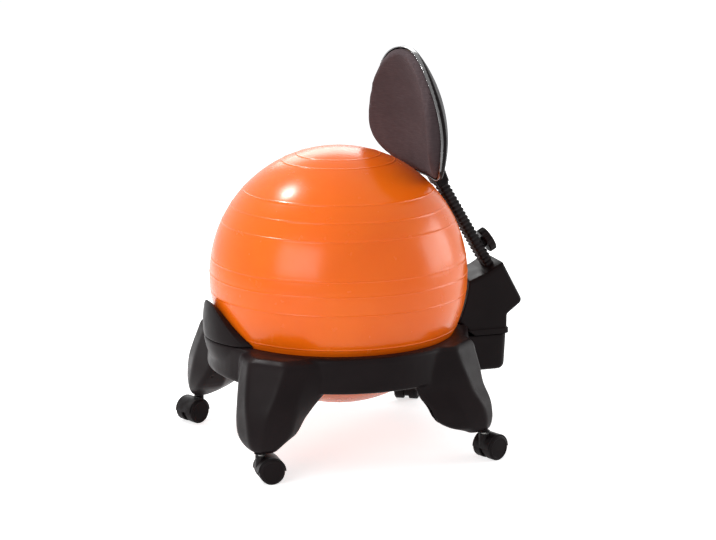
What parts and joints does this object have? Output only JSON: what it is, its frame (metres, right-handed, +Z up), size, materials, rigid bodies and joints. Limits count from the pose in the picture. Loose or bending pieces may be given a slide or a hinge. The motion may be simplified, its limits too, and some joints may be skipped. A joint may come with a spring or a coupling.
{
  "type": "balance ball chair",
  "caption": "Wheeled chair whose seat is an inflated ball held in a moulded four-legged ring, with a padded backrest on a leaning post.",
  "frame": {"origin": "on the floor under the centre of the ball", "axes": "+Z up, the chair faces -Y, +X is the sitter's left"},
  "size_m": [0.5452, 0.6639, 0.8001],
  "materials": {
    "base_plastic": "satin black moulded plastic, slightly textured",
    "ball_vinyl": "glossy orange vinyl",
    "plug_plastic": "smooth",
    "steel": "zinc-plated",
    "caster_plastic": "semi-gloss black nylon",
    "black_steel": "black powder coat",
    "nylon": "smooth",
    "bellows_rubber": "matt black rubber",
    "knob_plastic": "satin black",
    "shell_plastic": "glossy black",
    "board_wood": "moulded plywood",
    "foam": "soft foam",
    "upholstery": "dark brown-grey woven fabric"
  },
  "bodies": {
    "frame": {"base_frame": "base_plastic", "front_ball_stop": "base_plastic", "ball_stop_screws": "steel", "front_right_caster_socket": "caster_plastic", "front_left_caster_socket": "caster_plastic", "rear_left_caster_socket": "caster_plastic", "rear_right_caster_socket": "caster_plastic"},
    "seat_ball": {"ball": "ball_vinyl", "ball_plug": "plug_plastic"},
    "front_right_caster": {"front_right_caster_stem": "steel", "front_right_caster_hood": "caster_plastic", "front_right_caster_axle": "steel"},
    "front_right_left_wheel": {"front_right_caster_left_wheel": "caster_plastic"},
    "front_right_right_wheel": {"front_right_caster_right_wheel": "caster_plastic"},
    "front_left_caster": {"front_left_caster_stem": "steel", "front_left_caster_hood": "caster_plastic", "front_left_caster_axle": "steel"},
    "front_left_left_wheel": {"front_left_caster_left_wheel": "caster_plastic"},
    "front_left_right_wheel": {"front_left_caster_right_wheel": "caster_plastic"},
    "rear_left_caster": {"rear_left_caster_stem": "steel", "rear_left_caster_hood": "caster_plastic", "rear_left_caster_axle": "steel"},
    "rear_left_left_wheel": {"rear_left_caster_left_wheel": "caster_plastic"},
    "rear_left_right_wheel": {"rear_left_caster_right_wheel": "caster_plastic"},
    "rear_right_caster": {"rear_right_caster_stem": "steel", "rear_right_caster_hood": "caster_plastic", "rear_right_caster_axle": "steel"},
    "rear_right_left_wheel": {"rear_right_caster_left_wheel": "caster_plastic"},
    "rear_right_right_wheel": {"rear_right_caster_right_wheel": "caster_plastic"},
    "back_carriage": {"back_bracket": "black_steel", "post_sleeve": "black_steel", "clamp_boss": "steel", "sleeve_bush": "nylon", "back_cover": "base_plastic", "cover_screws": "steel", "depth_nut": "steel", "depth_stud": "steel", "bellows": "bellows_rubber"},
    "depth_clamp": {"depth_knob": "knob_plastic", "depth_washer": "steel"},
    "height_clamp": {"height_knob": "knob_plastic", "height_knob_screw": "steel"},
    "backrest": {"post_bar": "black_steel", "backrest_shell": "shell_plastic", "backrest_board": "board_wood", "backrest_foam": "foam", "backrest_fabric": "upholstery", "shell_screws": "steel", "bar_bolts": "steel"}
  },
  "joints": [
    {"name": "ball_turn", "type": "hinge", "parent": "frame", "child": "seat_ball", "pos_m": [0, 0, 0.347], "axis": [0, 0, 1], "continuous": true},
    {"name": "front_right_swivel", "type": "hinge", "parent": "frame", "child": "front_right_caster", "pos_m": [-0.228, -0.234, 0.06], "axis": [0, 0, 1], "continuous": true},
    {"name": "front_right_left_roll", "type": "hinge", "parent": "front_right_caster", "child": "front_right_left_wheel", "pos_m": [-0.22039, -0.25031, 0.025], "axis": [-0.9063, -0.4226, 0], "continuous": true},
    {"name": "front_right_right_roll", "type": "hinge", "parent": "front_right_caster", "child": "front_right_right_wheel", "pos_m": [-0.22039, -0.25031, 0.025], "axis": [-0.9063, -0.4226, 0], "continuous": true},
    {"name": "front_left_swivel", "type": "hinge", "parent": "frame", "child": "front_left_caster", "pos_m": [0.228, -0.234, 0.06], "axis": [0, 0, 1], "continuous": true},
    {"name": "front_left_left_roll", "type": "hinge", "parent": "front_left_caster", "child": "front_left_left_wheel", "pos_m": [0.22863, -0.21601, 0.025], "axis": [0.9994, -0.0349, 0], "continuous": true},
    {"name": "front_left_right_roll", "type": "hinge", "parent": "front_left_caster", "child": "front_left_right_wheel", "pos_m": [0.22863, -0.21601, 0.025], "axis": [0.9994, -0.0349, 0], "continuous": true},
    {"name": "rear_left_swivel", "type": "hinge", "parent": "frame", "child": "rear_left_caster", "pos_m": [0.228, 0.228, 0.06], "axis": [0, 0, 1], "continuous": true},
    {"name": "rear_left_left_roll", "type": "hinge", "parent": "rear_left_caster", "child": "rear_left_left_wheel", "pos_m": [0.22126, 0.24469, 0.025], "axis": [0.9272, 0.3746, 0], "continuous": true},
    {"name": "rear_left_right_roll", "type": "hinge", "parent": "rear_left_caster", "child": "rear_left_right_wheel", "pos_m": [0.22126, 0.24469, 0.025], "axis": [0.9272, 0.3746, 0], "continuous": true},
    {"name": "rear_right_swivel", "type": "hinge", "parent": "frame", "child": "rear_right_caster", "pos_m": [-0.228, 0.228, 0.06], "axis": [0, 0, 1], "continuous": true},
    {"name": "rear_right_left_roll", "type": "hinge", "parent": "rear_right_caster", "child": "rear_right_left_wheel", "pos_m": [-0.24359, 0.237, 0.025], "axis": [0.5, 0.866, 0], "continuous": true},
    {"name": "rear_right_right_roll", "type": "hinge", "parent": "rear_right_caster", "child": "rear_right_right_wheel", "pos_m": [-0.24359, 0.237, 0.025], "axis": [0.5, 0.866, 0], "continuous": true},
    {"name": "back_depth", "type": "slide", "parent": "frame", "child": "back_carriage", "axis": [0, 1, 0], "range_m": [0, 0.03]},
    {"name": "back_height", "type": "slide", "parent": "back_carriage", "child": "backrest", "axis": [0, -0.5075, 0.8616], "range_m": [0, 0.06], "deforming": ["bellows"]},
    {"name": "depth_knob_turn", "type": "hinge", "parent": "back_carriage", "child": "depth_clamp", "pos_m": [0, 0.286, 0.12], "axis": [0, 0, -1], "range_deg": [0, 360]},
    {"name": "height_knob_turn", "type": "hinge", "parent": "back_carriage", "child": "height_clamp", "pos_m": [0, 0.31642, 0.39334], "axis": [0, 0.8616, 0.5075], "range_deg": [0, 360]}
  ]
}
